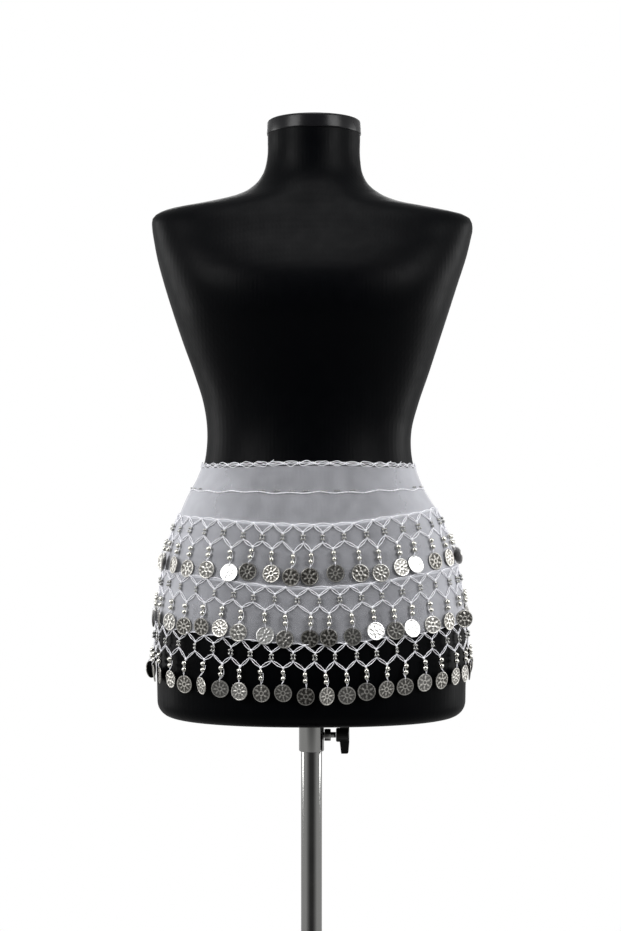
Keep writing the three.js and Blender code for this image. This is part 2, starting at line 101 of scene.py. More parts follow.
BELT_END = 157.5                 # degrees, where the cloth ends on each side of the back
CLOTH_OUTSIDE = 2.0 * MM         # outer face of the cloth above the form
CLOTH_THICKNESS = 0.4 * MM

SCREW_DROP = 24 * MM             # clamp screw's axis below the form's underside
SLOT_ANGLE = 52                  # degrees from the front to the sleeve's slot

rng = np.random.default_rng(7)

# ---------------------------------------------------------------- the form's surface

ROWS = np.array(FORM_ROWS, float)
ROWS[:, :5] *= MM


def row_slopes():
    """Slope of each column at each row: that of the parabola through the row and its neighbours."""
    step = np.diff(ROWS[:, 0])[:, None]
    rise = np.diff(ROWS[:, 1:], axis=0) / step
    slopes = np.empty_like(ROWS[:, 1:])
    slopes[0] = rise[0]
    slopes[-1] = rise[-1]
    slopes[1:-1] = (rise[:-1] * step[1:] + rise[1:] * step[:-1]) / (step[:-1] + step[1:])
    return slopes


ROW_SLOPES = row_slopes()


def section_at(height):
    """The form's cross-section at each height: a cubic between the two rows around it."""
    row = np.clip(np.searchsorted(ROWS[:, 0], height, side="right") - 1, 0, len(ROWS) - 2)
    step = (ROWS[row + 1, 0] - ROWS[row, 0])[..., None]
    t = (height[..., None] - ROWS[row, 0][..., None]) / step
    return (
        ROWS[row, 1:] * (1 + 2 * t) * (1 - t) ** 2
        + ROW_SLOPES[row] * step * t * (1 - t) ** 2
        + ROWS[row + 1, 1:] * (3 - 2 * t) * t ** 2
        + ROW_SLOPES[row + 1] * step * (t - 1) * t ** 2
    )


def form_point(angle, height, offset):
    """Points at angles and heights, moved out from the form along its level normal."""
    angle, height, offset = np.broadcast_arrays(
        np.asarray(angle, float), np.asarray(height, float), np.asarray(offset, float)
    )
    left, right, front, back, power = np.moveaxis(section_at(height), -1, 0)
    across = np.sin(np.radians(angle))
    ahead = np.cos(np.radians(angle))
    width = np.where(across < 0, left, right)
    depth = np.where(ahead < 0, back, front)
    reach = ((abs(across) / width) ** power + (abs(ahead) / depth) ** power) ** (-1 / power)
    x = reach * across
    y = -reach * ahead
    normal_x = np.sign(x) * (abs(x) / width) ** (power - 1) / width
    normal_y = np.sign(y) * (abs(y) / depth) ** (power - 1) / depth
    size = np.hypot(normal_x, normal_y)
    points = (x + normal_x / size * offset, y + normal_y / size * offset, height + UNDERSIDE)
    return np.stack(points, axis=-1)


def line_height(line, angle):
    """Height of a belt line at each angle."""
    front, left, right = (value * MM for value in line)
    side = np.where(np.sin(np.radians(angle)) < 0, left, right)
    share = np.maximum(0, np.cos(np.radians(angle))) ** 2
    return side + (front - side) * share


def frame_at(angle, height, offset):
    """A point and the right, up and outward directions of the surface there."""
    here = form_point(angle, height, offset)
    right = form_point(angle + 0.5, height, offset) - form_point(angle - 0.5, height, offset)
    up = form_point(angle, height + MM, offset) - form_point(angle, height - MM, offset)
    right = right / np.linalg.norm(right)
    up = up / np.linalg.norm(up)
    outward = np.cross(right, up)
    return here, right, up, outward / np.linalg.norm(outward)


def distances(points):
    """How far along a line of points each one is."""
    return np.concatenate([[0], np.cumsum(np.linalg.norm(np.diff(points, axis=0), axis=1))])


def angle_table(line):
    """Angles along a belt line, and the distance of each from the centre of the front."""
    angles = np.linspace(-BELT_END, BELT_END, 1261)
    points = form_point(angles, line_height(line, angles), CLOTH_OUTSIDE)
    along = distances(points)
    return angles, along - np.interp(0, angles, along)


# Soft creases in the cloth, listed one by one: angle and height of both ends, half-width and rise
# in millimetres, with a trough where the rise is negative.
CREASES = (
    (-62, 262, -20, 240, 5, 0.5), (-48, 236, -8, 226, 6, -0.45), (30, 246, 66, 268, 5, 0.5),
    (8, 232, 44, 240, 7, 0.4), (-95, 250, -60, 236, 5, 0.5), (75, 252, 110, 262, 6, -0.5),
    (-14, 205, -10, 168, 4, 0.7), (-3, 208, -2, 176, 5, -0.5), (9, 206, 12, 160, 4, 0.6),
    (24, 212, 26, 172, 5, 0.6), (-31, 212, -27, 170, 4, -0.6), (41, 216, 45, 180, 5, 0.5),
    (-52, 216, -48, 182, 5, 0.6), (60, 222, 62, 190, 5, -0.5), (-74, 218, -70, 186, 6, 0.5),
    (-20, 142, -17, 104, 4, 0.6), (-7, 140, -6, 110, 5, 0.7), (6, 142, 8, 98, 4, -0.6),
    (18, 144, 20, 108, 4, 0.6), (34, 150, 37, 112, 5, 0.5), (-36, 150, -33, 108, 5, -0.5),
    (52, 156, 55, 120, 5, 0.6), (-55, 156, -51, 118, 5, 0.5), (80, 158, 84, 124, 6, 0.6),
    (105, 250, 140, 262, 6, 0.7), (112, 215, 150, 250, 7, 0.8), (-112, 215, -150, 250, 7, 0.8),
    (-104, 262, -148, 258, 5, -0.6), (120, 180, 152, 232, 7, -0.7), (-122, 176, -152, 232, 8, 0.8),
    (100, 205, 103, 170, 5, 0.6), (-100, 206, -97, 172, 5, -0.6), (130, 160, 134, 116, 6, 0.6),
    (-132, 160, -136, 114, 6, 0.7), (118, 152, 120, 118, 5, -0.5), (-116, 150, -113, 112, 5, 0.5),
)


def cloth_relief(angle, height):
    """How far the cloth's outer face stands off the form: creases, seams and end gathers."""
    angle, height = np.broadcast_arrays(np.asarray(angle, float), np.asarray(height, float))
    relief = np.full(angle.shape, CLOTH_OUTSIDE)
    reach = 2.3 * MM             # roughly the length of one degree round the hips
    for from_angle, from_height, to_angle, to_height, width, rise in CREASES:
        run = np.array([(to_angle - from_angle) * reach, (to_height - from_height) * MM])
        away_x = (angle - from_angle) * reach
        away_z = height - from_height * MM
        share = (away_x * run[0] + away_z * run[1]) / (run @ run)
        aside = (away_x * run[1] - away_z * run[0]) / np.linalg.norm(run)
        fade = np.exp(-(((share - 0.5) / 0.42) ** 4))
        relief = relief + rise * MM * fade * np.exp(-((aside / (width * MM)) ** 2))
    for line in (UPPER_LINE, MIDDLE_LINE, HEM_LINE):
        drop = line_height(line, angle) - height
        relief = relief + 0.55 * MM * np.exp(-(((drop - 0.3 * MM) / (1.1 * MM)) ** 2))
        sway = np.sin(angle * 2.72 + 1.3 * np.sin(angle * 0.31)) * np.sin(angle * 0.173 + 1)
        relief = relief + 0.22 * MM * sway * np.exp(-(((drop - 0.025) / 0.016) ** 2))
    gather = np.clip((abs(angle) - 128) / 28, 0, 1) ** 2
    fan = np.sin((height - 0.257) / (3.4 * MM + 0.07 * abs(height - 0.257)))
    return np.maximum(relief + gather * 0.9 * MM * fan, 1.5 * MM)


# ---------------------------------------------------------------- mesh building

class Shells:
    """Small shells gathered into one mesh, with a UV for each face corner and point values."""

    def __init__(self):
        self.points, self.corners, self.sizes, self.uvs = [], [], [], []
        self.values = {}
        self.count = 0

    def add(self, points, corners, sizes, uvs=None, **values):
        self.points.append(points)
        self.corners.append(corners + self.count)
        self.sizes.append(sizes)
        self.uvs.append(np.zeros((len(corners), 2)) if uvs is None else uvs)
        for name, value in values.items():
            self.values.setdefault(name, []).append(np.broadcast_to(value, len(points)))
        self.count += len(points)

    def build(self, name, material, sharp=None):
        """Make the object. sharp is the angle in degrees above which an edge stays crisp."""
        points = np.concatenate(self.points)
        corners = np.concatenate(self.corners)
        sizes = np.concatenate(self.sizes)
        mesh = bpy.data.meshes.new(name)
        mesh.vertices.add(len(points))
        mesh.vertices.foreach_set("co", points.astype(np.float32).ravel())
        mesh.loops.add(len(corners))
        mesh.loops.foreach_set("vertex_index", corners.astype(np.int32))
        mesh.polygons.add(len(sizes))
        starts = np.concatenate([[0], np.cumsum(sizes)[:-1]])
        mesh.polygons.foreach_set("loop_start", starts.astype(np.int32))
        mesh.update(calc_edges=True)
        layer = mesh.uv_layers.new(name="UVMap")
        layer.data.foreach_set("uv", np.concatenate(self.uvs).astype(np.float32).ravel())
        for value_name, chunks in self.values.items():
            attribute = mesh.attributes.new(value_name, "FLOAT", "POINT")
            attribute.data.foreach_set("value", np.concatenate(chunks).astype(np.float32))
        mesh.shade_smooth()
        if sharp is not None:
            mesh.set_sharp_from_angle(angle=math.radians(sharp))
        mesh.materials.append(material)
        piece = bpy.data.objects.new(name, mesh)
        bpy.context.scene.collection.objects.link(piece)
        return piece


def grid_faces(rows, columns, around=False):
    """Corner lists of a grid of quads, point = row * columns + column."""
    row = np.arange(rows - 1)[:, None]
    column = np.arange(columns if around else columns - 1)[None, :]
    following = (column + 1) % columns
    quads = np.stack([
        row * columns + column,
        row * columns + following,
        (row + 1) * columns + following,
        (row + 1) * columns + column,
    ], axis=-1)
    return quads.reshape(-1, 4)


def capped_faces(rings, sides):
    """Corners and face sizes of a tube of rings with flat ends."""
    quads = grid_faces(rings, sides, around=True)
    first = np.arange(sides)
    last = (rings - 1) * sides + first
    corners = np.concatenate([quads.ravel(), first[::-1], last])
    return corners, np.append(np.full(len(quads), 4), [sides, sides])


def looped_quads(rings, sides):
    """Quads of a tube whose last ring joins its first."""
    first = np.arange(sides)
    following = (first + 1) % sides
    last = (rings - 1) * sides
    join = np.stack([last + first, last + following, following, first], axis=-1)
    return np.concatenate([grid_faces(rings, sides, around=True), join])


def add_quads(shells, points, quads, uv=None, **values):
    uvs = None if uv is None else uv[quads.ravel()]
    shells.add(points, quads.ravel(), np.full(len(quads), 4), uvs, **values)


def revolve(profile, segments, closed=False):
    """Points and faces of a profile of (radius, height) pairs turned about Z."""
    profile = np.array(profile, float)
    turn = np.linspace(0, 2 * math.pi, segments, endpoint=False)
    points = np.stack([
        profile[:, :1] * np.cos(turn),
        profile[:, :1] * np.sin(turn),
        np.broadcast_to(profile[:, 1:], (len(profile), segments)),
    ], axis=-1).reshape(-1, 3)
    if closed:
        quads = looped_quads(len(profile), segments)
        return points, quads.ravel(), np.full(len(quads), 4)
    return points, *capped_faces(len(profile), segments)


def strand(shells, path, radius, sides=6, **values):
    """A round thread along a path, with closed ends."""
    path = np.asarray(path, float)
    tangent = np.gradient(path, axis=0)
    tangent /= np.linalg.norm(tangent, axis=1, keepdims=True)
    outward = path * np.array([1.0, 1.0, 0.0]) + np.array([0.0, 0.0, 1e-4])
    across = np.cross(tangent, outward)
    across /= np.linalg.norm(across, axis=1, keepdims=True)
    lift = np.cross(across, tangent)
    turn = np.linspace(0, 2 * math.pi, sides, endpoint=False)
    radius = np.broadcast_to(radius, len(path))[:, None, None]
    ring = across[:, None] * np.cos(turn)[None, :, None] + lift[:, None] * np.sin(turn)[None, :, None]
    points = (path[:, None] + ring * radius).reshape(-1, 3)
    corners, sizes = capped_faces(len(path), sides)
    walls = corners[:-2 * sides]
    along = distances(path)
    uv = np.stack([np.repeat(along, sides), np.tile(np.arange(sides) / sides, len(path))], axis=-1)
    uvs = uv[walls].reshape(-1, 4, 2)
    uvs[sides - 1::sides, 1:3, 1] = 1.0
    ends = np.zeros((2 * sides, 2))
    shells.add(points, corners, sizes, np.concatenate([uvs.reshape(-1, 2), ends]), **values)


def turn_matrix(axis, degrees):
    """Rotation about local X, Y or Z."""
    return np.array(Matrix.Rotation(math.radians(degrees), 3, axis))


def blob(shells, centre, radius, squash=(1, 1, 1)):
    """A small rounded knot of thread with an uneven surface."""
    profile = [(math.sin(a), -math.cos(a)) for a in np.radians((18, 50, 90, 130, 162))]
    points, corners, sizes = revolve(profile, 8)
    points = points * (1 + 0.12 * rng.standard_normal((len(points), 1)))
    shells.add(centre + points * radius * np.array(squash), corners, sizes)


# ---------------------------------------------------------------- materials

def new_material(name, color, roughness, metallic=0.0, specular=0.5, sheen=0.0, alpha=1.0):
    material = bpy.data.materials.new(name)
    material.use_nodes = True
    shader = material.node_tree.nodes["Principled BSDF"]
    settings = {
        "Base Color": (*color, 1),
        "Roughness": roughness,
        "Metallic": metallic,
        "Specular IOR Level": specular,
        "Sheen Weight": sheen,
        "Sheen Roughness": 0.35,
        "Alpha": alpha,
    }
    for name, value in settings.items():
        shader.inputs[name].default_value = value
    return material


def map_range(tree, value, start, end, low, high):
    """A node that moves a value from start..end to low..high."""
    node = tree.nodes.new("ShaderNodeMapRange")
    tree.links.new(value, node.inputs["Value"])
    for name, limit in (("From Min", start), ("From Max", end), ("To Min", low), ("To Max", high)):
        node.inputs[name].default_value = limit
    return node


def add_node(material, kind, links=None, **settings):
    """Add a node, set its inputs by name, and link given sockets to inputs."""
    tree = material.node_tree
    node = tree.nodes.new(kind)
    for name, value in settings.items():
        node.inputs[name.replace("_", " ")].default_value = value
    for name, socket in (links or {}).items():
        tree.links.new(socket, node.inputs[name])
    return node


def set_bump(material, height, strength, distance):
    shader = material.node_tree.nodes["Principled BSDF"]
    bump = add_node(material, "ShaderNodeBump", {"Height": height}, Strength=strength, Distance=distance)
    material.node_tree.links.new(bump.outputs["Normal"], shader.inputs["Normal"])


def vary(material, target, coordinates, scale, low, high):
    """Drive one input by noise between two grey values."""
    noise = add_node(material, "ShaderNodeTexNoise", {"Vector": coordinates}, Scale=scale, Detail=4.0)
    spread = map_range(material.node_tree, noise.outputs["Fac"], 0.3, 0.7, low, high)
    shader = material.node_tree.nodes["Principled BSDF"]
    material.node_tree.links.new(spread.outputs["Result"], shader.inputs[target])


def woven(material, coordinates, pitch, strength):
    """Two crossed sets of threads as a bump."""
    heights = []
    for direction in ("X", "Y"):
        wave = add_node(material, "ShaderNodeTexWave", {"Vector": coordinates}, Distortion=0.6)
        wave.bands_direction = direction
        wave.inputs["Scale"].default_value = 0.05 / pitch
        wave.inputs["Detail Scale"].default_value = 2.0
        heights.append(wave.outputs["Fac"])
    both = add_node(material, "ShaderNodeMath")
    both.operation = "MULTIPLY"
    for slot_number, socket in enumerate(heights):
        material.node_tree.links.new(socket, both.inputs[slot_number])
    set_bump(material, both.outputs["Value"], strength, pitch * 0.3)


def jersey_material():
    material = new_material("jersey", (0.0006, 0.0008, 0.0013), 0.42, specular=0.05)
    coordinates = add_node(material, "ShaderNodeTexCoord").outputs["Object"]
    woven(material, coordinates, 0.7 * MM, 0.25)
    vary(material, "Roughness", coordinates, 60, 0.38, 0.46)
    return material


def chiffon_material(name, alpha):
    material = new_material(name, (0.86, 0.87, 0.93), 0.6, specular=0.3, sheen=0.55, alpha=alpha)
    coordinates = add_node(material, "ShaderNodeUVMap").outputs["UV"]
    woven(material, coordinates, 0.45 * MM, 0.3)
    # Cover raised by the layers value: denser cloth at the fringe lines and gathers, and painted edge sheen
    # towards the flanks.
    layers = add_node(material, "ShaderNodeAttribute")
    layers.attribute_name = "layers"
    streaks = add_node(material, "ShaderNodeTexNoise", {"Vector": coordinates}, Scale=55.0, Detail=5.0)
    spread = add_node(material, "ShaderNodeMath", {0: layers.outputs["Fac"]})
    spread.operation = "MULTIPLY_ADD"
    spread.inputs[1].default_value = 0.4
    shift = map_range(material.node_tree, streaks.outputs["Fac"], 0, 1, alpha - 0.07, alpha + 0.07)
    material.node_tree.links.new(shift.outputs["Result"], spread.inputs[2])
    shader = material.node_tree.nodes["Principled BSDF"]
    material.node_tree.links.new(spread.outputs["Value"], shader.inputs["Alpha"])
    return material


def thread_material():
    material = new_material("crochet_thread", (0.9, 0.9, 0.94), 0.7, specular=0.3, sheen=0.3)
    coordinates = add_node(material, "ShaderNodeUVMap").outputs["UV"]
    wave = add_node(material, "ShaderNodeTexWave", {"Vector": coordinates}, Scale=90.0)
    set_bump(material, wave.outputs["Fac"], 0.5, 0.15 * MM)
    vary(material, "Roughness", coordinates, 300, 0.6, 0.8)
    return material


def silver_material(name, color, roughness):
    material = new_material(name, color, roughness, metallic=1.0)
    coordinates = add_node(material, "ShaderNodeTexCoord").outputs["Object"]
    vary(material, "Roughness", coordinates, 400, roughness - 0.06, roughness + 0.08)
    noise = add_node(material, "ShaderNodeTexNoise", {"Vector": coordinates}, Scale=900.0)
    set_bump(material, noise.outputs["Fac"], 0.15, 0.1 * MM)
    return material


def coin_material():
    """Stamped silver, antiqued in the hollows; a coin's tone runs from dull, varying at random, to a painted
    near-white glint on a few chosen coins.
    """
    material = new_material("coin_silver", (0.6, 0.59, 0.55), 0.34, metallic=1.0)
    tree = material.node_tree
    relief = add_node(material, "ShaderNodeAttribute")
    relief.attribute_name = "relief"
    tone = add_node(material, "ShaderNodeAttribute")
    tone.attribute_name = "tone"
    coordinates = add_node(material, "ShaderNodeUVMap").outputs["UV"]
    noise = add_node(material, "ShaderNodeTexNoise", {"Vector": coordinates}, Scale=500.0, Detail=3.0)
    worn = add_node(material, "ShaderNodeMath", {0: relief.outputs["Fac"], 1: noise.outputs["Fac"]})
    worn.operation = "MULTIPLY"
    ramp = add_node(material, "ShaderNodeValToRGB", {"Fac": worn.outputs["Value"]})
    ramp.color_ramp.elements[0].position = 0.12
    ramp.color_ramp.elements[0].color = (0.11, 0.105, 0.095, 1)
    ramp.color_ramp.elements[1].position = 0.42
    ramp.color_ramp.elements[1].color = (0.72, 0.7, 0.65, 1)
    # Near-white mixed in on the chosen coins: a painted highlight that stands for their glint.
    glint_mix = add_node(material, "ShaderNodeMix", {"Factor": tone.outputs["Fac"]})
    glint_mix.data_type = "RGBA"
    tree.links.new(ramp.outputs["Color"], glint_mix.inputs[6])
    glint_mix.inputs[7].default_value = (0.97, 0.97, 0.95, 1)
    tree.links.new(glint_mix.outputs[2], tree.nodes["Principled BSDF"].inputs["Base Color"])
    set_bump(material, noise.outputs["Fac"], 0.35, 0.15 * MM)
    return material


def plain_material(name, color, roughness, metallic=0.0, grain=250.0, strength=0.05, specular=0.5):
    """Plated, painted or moulded: uneven roughness and a fine grain."""
    material = new_material(name, color, roughness, metallic=metallic, specular=specular)
    coordinates = add_node(material, "ShaderNodeTexCoord").outputs["Object"]
    vary(material, "Roughness", coordinates, 30, roughness - 0.05, roughness + 0.05)
    noise = add_node(material, "ShaderNodeTexNoise", {"Vector": coordinates}, Scale=grain, Detail=4.0)
    set_bump(material, noise.outputs["Fac"], strength, 0.2 * MM)
    return material


JERSEY = jersey_material()
CHIFFON = chiffon_material("chiffon", 0.18)
GATHERED = chiffon_material("chiffon_gathered", 0.8)
THREAD = thread_material()
COIN = coin_material()
BEAD = silver_material("bead_silver", (0.66, 0.65, 0.6), 0.16)
SEED = silver_material("seed_silver", (0.4, 0.4, 0.38), 0.2)
CHROME = plain_material("chrome", (0.38, 0.38, 0.37), 0.16, metallic=1.0, strength=0.02)
LACQUER = plain_material("cap_lacquer", (0.006, 0.006, 0.007), 0.28, strength=0.08, specular=0.2)
KNOB = plain_material("knob_plastic", (0.006, 0.006, 0.006), 0.42, strength=0.15)
STEEL = plain_material("base_steel", (0.02, 0.02, 0.022), 0.4, grain=900.0, strength=0.2)


def finish_piece(piece, body, slot, *nodes):
    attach(piece, body)
    if nodes:
        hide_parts(*nodes)
    return piece


# ---------------------------------------------------------------- camera, light and floor

def add_camera():
    data = bpy.data.cameras.new("camera")
    data.lens = 64.96
    data.sensor_width = 36.0
    camera = bpy.data.objects.new("camera", data)
    camera.location = (-0.00114, -1.915, 0.583)
    camera.rotation_euler = (math.radians(90), 0, 0)
    bpy.context.scene.collection.objects.link(camera)
    bpy.context.scene.camera = camera


def add_area(name, location, target, width, height, power):
    data = bpy.data.lights.new(name, "AREA")
    data.shape = "RECTANGLE"
    data.size = width
    data.size_y = height
    data.energy = power
    light = bpy.data.objects.new(name, data)
    light.location = location
    direction = np.array(target, float) - np.array(location, float)
    yaw = math.atan2(direction[0], -direction[1])
    pitch = math.atan2(direction[2], math.hypot(direction[0], direction[1]))
    light.rotation_euler = (math.radians(90) + pitch, 0, yaw + math.pi)
    bpy.context.scene.collection.objects.link(light)


def add_lights():
    for side in (-1, 1):
        add_area(f"side_{side}", (side * 1.5, -1.25, 1.45), (0, 0, 0.5), 0.9, 1.1, 24)
        add_area(f"rim_{side}", (side * 1.5, 0.5, 0.7), (0, 0, 0.45), 0.6, 1.2, 10)
    add_area("above", (0, -0.5, 2.2), (0, 0, 0.6), 1.0, 0.6, 9)
    add_area("behind", (0, 1.9, 1.3), (0, 0, 0.5), 1.2, 1.2, 12)


def add_world():
    """White to the camera; to the object, a grey studio that is dark where the camera stands."""
    world = bpy.data.worlds.new("studio")
    world.use_nodes = True
    tree = world.node_tree
    background = tree.nodes["Background"]
    direction = tree.nodes.new("ShaderNodeTexCoord").outputs["Generated"]
    separate = tree.nodes.new("ShaderNodeSeparateXYZ")
    tree.links.new(direction, separate.inputs[0])
    ramp = map_range(tree, separate.outputs["Y"], -0.95, -0.45, 0.05, 0.5)
    path = tree.nodes.new("ShaderNodeLightPath")
    mix = tree.nodes.new("ShaderNodeMix")
    tree.links.new(path.outputs["Is Camera Ray"], mix.inputs[0])
    tree.links.new(ramp.outputs["Result"], mix.inputs[2])
    mix.inputs[3].default_value = 1.0
    tree.links.new(mix.outputs[0], background.inputs["Strength"])
    background.inputs["Color"].default_value = (1, 1, 1, 1)
    bpy.context.scene.world = world


def add_floor():
    """A pale glowing floor that fades into the white surroundings, with a painted soft shadow round the base.
    """
    points = np.array([(-4, -4, 0), (4, -4, 0), (4, 4, 0), (-4, 4, 0)], float)
    points[:, 2] = -0.5 * MM
    shells = Shells()
    shells.add(points, np.arange(4), np.array([4]))
    material = bpy.data.materials.new("floor")
    material.use_nodes = True
    tree = material.node_tree
    tree.nodes.clear()
    output = tree.nodes.new("ShaderNodeOutputMaterial")
    glow = tree.nodes.new("ShaderNodeEmission")
    coordinates = tree.nodes.new("ShaderNodeTexCoord").outputs["Object"]
    length = tree.nodes.new("ShaderNodeVectorMath")
    length.operation = "LENGTH"
    tree.links.new(coordinates, length.inputs[0])
    # Dimmer near the base: a painted contact shadow.
    ramp = map_range(tree, length.outputs["Value"], 0.1, 0.19, 0.62, 1.0)
    ramp.interpolation_type = "SMOOTHSTEP"
    tree.links.new(ramp.outputs["Result"], glow.inputs["Strength"])
    tree.links.new(glow.outputs["Emission"], output.inputs["Surface"])
    floor = shells.build("floor", material)
    for ray in ("diffuse", "glossy", "transmission", "shadow"):
        setattr(floor, f"visible_{ray}", False)


# ---------------------------------------------------------------- form and stand

# The bore for the pole and its sleeve, from its inner end down to the underside: radius and
# height in millimetres.
BORE_OUTLINE = ((12.8, 320), (12.8, 61), (14.8, 60.4), (14.8, 0.5), (14.8, 0))


def add_torso():
    """The form's cover: up inside the sleeve's bore, out over the underside and up to the neck."""
    turn = np.arange(0, 360, 2.25)
    circle = np.stack([np.sin(np.radians(turn)), -np.cos(np.radians(turn)), 0 * turn], axis=-1)
    rings = []
    for radius, rise in BORE_OUTLINE:
        rings.append(circle * radius * MM + (0, 0, UNDERSIDE + rise * MM))
    for arc in range(0, 90, 10):
        lean = math.radians(arc)
        inset = UNDERSIDE_ROUNDING * (1 - math.sin(lean))
        rings.append(form_point(turn, UNDERSIDE_ROUNDING * (1 - math.cos(lean)), -inset))
    fine = np.linspace(UNDERSIDE_ROUNDING, NECK_TOP, 2600)
    width = section_at(fine)[:, 0]
    along = np.concatenate([[0], np.cumsum(np.hypot(np.diff(width), np.diff(fine)))])
    for station in np.linspace(0, along[-1], 150):
        rings.append(form_point(turn, float(np.interp(station, along, fine)), 0))
    shells = Shells()
    shells.add(np.concatenate(rings), *capped_faces(len(rings), len(turn)))
    return finish_piece(shells.build("form_cover", JERSEY, 50), "form", "jersey", "form_torso")


def turned(name, profile, centre, material, segments=96, closed=False, axis="Z"):
    """A turned piece from millimetre profile pairs about an axis through a centre in metres."""
    points, corners, sizes = revolve(np.array(profile, float) * MM, segments, closed)
    if axis == "X":
        points = points[:, [2, 1, 0]] * np.array([1, 1, -1])
    shells = Shells()
    shells.add(points + np.array(centre, float), corners, sizes)
    return shells.build(name, material, 40)


def add_cap():
    cap = turned("neck_cap_lacquered", [
        (52.6, 0), (53.4, 0.1), (53.9, 0.8), (53.9, 1.6), (53.5, 13.2), (53.1, 14.6),
        (52.2, 15.4), (50.8, 15.7), (30, 15.95), (0.4, 16),
    ], (2.8 * MM, 3 * MM, UNDERSIDE + NECK_TOP + 0.3 * MM), LACQUER, 128)
    finish_piece(cap, "form", "cap_lacquer", "neck_cap")


def add_pole():
    low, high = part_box("pole")
    length = (high.z - low.z) / MM
    pole = turned("pole_tube", [
        (0.4, 0), (11, 0), (11.9, 0.9), (11.9, length - 1), (11.6, length - 0.3), (10.9, length),
        (0.4, length),
    ], (0, 0, low.z), CHROME)
    finish_piece(pole, "column", "chrome", "pole")


def add_base():
    hub = turned("base_hub_turned", [
        (12.4, 8.3), (26.4, 8.3), (27, 8.9), (27, 10.7), (26.2, 11.4), (21.5, 13.2), (18.8, 16.2),
        (17.2, 19.6), (17, 22), (17, 32.8), (16.6, 33.7), (15.8, 34), (12.9, 34), (12.4, 33.5),
    ], (0, 0, 0), CHROME, closed=True)
    finish_piece(hub, "base", "chrome", "base_hub")
    plate = turned("base_plate_coated", [
        (0.4, 0), (148.6, 0), (149.6, 0.5), (150, 1.4), (150, 5), (149.6, 6.5), (148.6, 7.6),
        (147, 8), (0.4, 8),
    ], (0, 0, 0), STEEL, 160)
    finish_piece(plate, "base", "base_steel", "base_plate")


def slot_cutter():
    """A box that cuts the sleeve's slot, seen to the right of the front."""
    box = np.array([(x, y, z) for x in (-1.5, 1.5) for y in (-20, -10.5) for z in (-39, 12)], float) * MM
    faces = np.array([0, 1, 3, 2, 4, 6, 7, 5, 0, 4, 5, 1, 2, 3, 7, 6, 0, 2, 6, 4, 1, 5, 7, 3])
    shells = Shells()
    shells.add(box @ turn_matrix("Z", SLOT_ANGLE).T + np.array([0, 0, UNDERSIDE]), faces, np.full(6, 4))
    return shells.build("cutter", CHROME)


def add_sleeve():
    sleeve = turned("sleeve_tube", [
        (12.4, -42), (13.7, -42), (14.25, -41.3), (14.25, 60), (12.4, 60),
    ], (0, 0, UNDERSIDE), CHROME, closed=True)
    cutter = slot_cutter()
    cut = sleeve.modifiers.new("slot", "BOOLEAN")
    cut.object = cutter
    bpy.context.view_layer.update()
    shaped = bpy.data.meshes.new_from_object(sleeve.evaluated_get(bpy.context.evaluated_depsgraph_get()))
    sleeve.modifiers.clear()
    sleeve.data = shaped
    bpy.data.objects.remove(cutter)
    finish_piece(sleeve, "form", "chrome", "pole_sleeve")


def add_clamp():
    screw_centre = (0, 0, UNDERSIDE - SCREW_DROP)
    boss = turned("clamp_boss_nut", [
        (3.6, 14.7), (6.4, 14.7), (6.9, 15.2), (6.9, 21.2), (6.5, 21.8), (6, 22), (4, 22), (3.6, 21.6),
    ], screw_centre, CHROME, 48, closed=True, axis="X")
    finish_piece(boss, "form", "chrome", "clamp_boss")
    screw = turned("clamp_screw_rod", [
        (0.3, 12.5), (2.9, 12.5), (3.25, 12.9), (3.25, 27.4), (3, 27.7), (0.3, 27.7),
    ], screw_centre, CHROME, 32, axis="X")
    finish_piece(screw, "clamp", "chrome", "clamp_screw")
    knob = bpy.data.objects["wing_knob"]
    knob.data.materials.clear()
    knob.data.materials.append(KNOB)


# ---------------------------------------------------------------- cloth

def panel_levels():
    """Pairs of (line above, line below, share) down the cloth, closer together near the lines."""
    levels = []
    bands = (
        (TOP_LINE, BRAID_LINE, 10),
        (BRAID_LINE, UPPER_LINE, 13),
        (UPPER_LINE, MIDDLE_LINE, 24),
        (MIDDLE_LINE, HEM_LINE, 23),
    )
    for above, below, count in bands:
        for step in range(count):
            share = step / count
            share -= math.sin(2 * math.pi * share) / (2 * math.pi) * 0.75
            levels.append((above, below, share))
    levels.append((MIDDLE_LINE, HEM_LINE, 1.0))
    return levels


def shell_from(name, outer, inner, uv, layers, material):
    """A closed cloth shell from two grids of points with the same shape."""
    rows, columns = outer.shape[:2]
    shells = Shells()
    front = grid_faces(rows, columns)
    count = rows * columns
    index = np.arange(count).reshape(rows, columns)
    back = front[:, ::-1] + count
    border = np.concatenate([index[0, :], index[1:, -1], index[-1, -2::-1], index[-2:0:-1, 0]])
    following = np.roll(border, -1)
    rim = np.stack([following, border, border + count, following + count], axis=-1)
    quads = np.concatenate([front[:, ::-1], back[:, ::-1], rim[:, ::-1]])
    points = np.concatenate([outer.reshape(-1, 3), inner.reshape(-1, 3)])
    uvs = np.concatenate([uv.reshape(-1, 2)] * 2)
    add_quads(shells, points, quads, uvs, layers=np.concatenate([layers.ravel()] * 2))
    return shells.build(name, material)


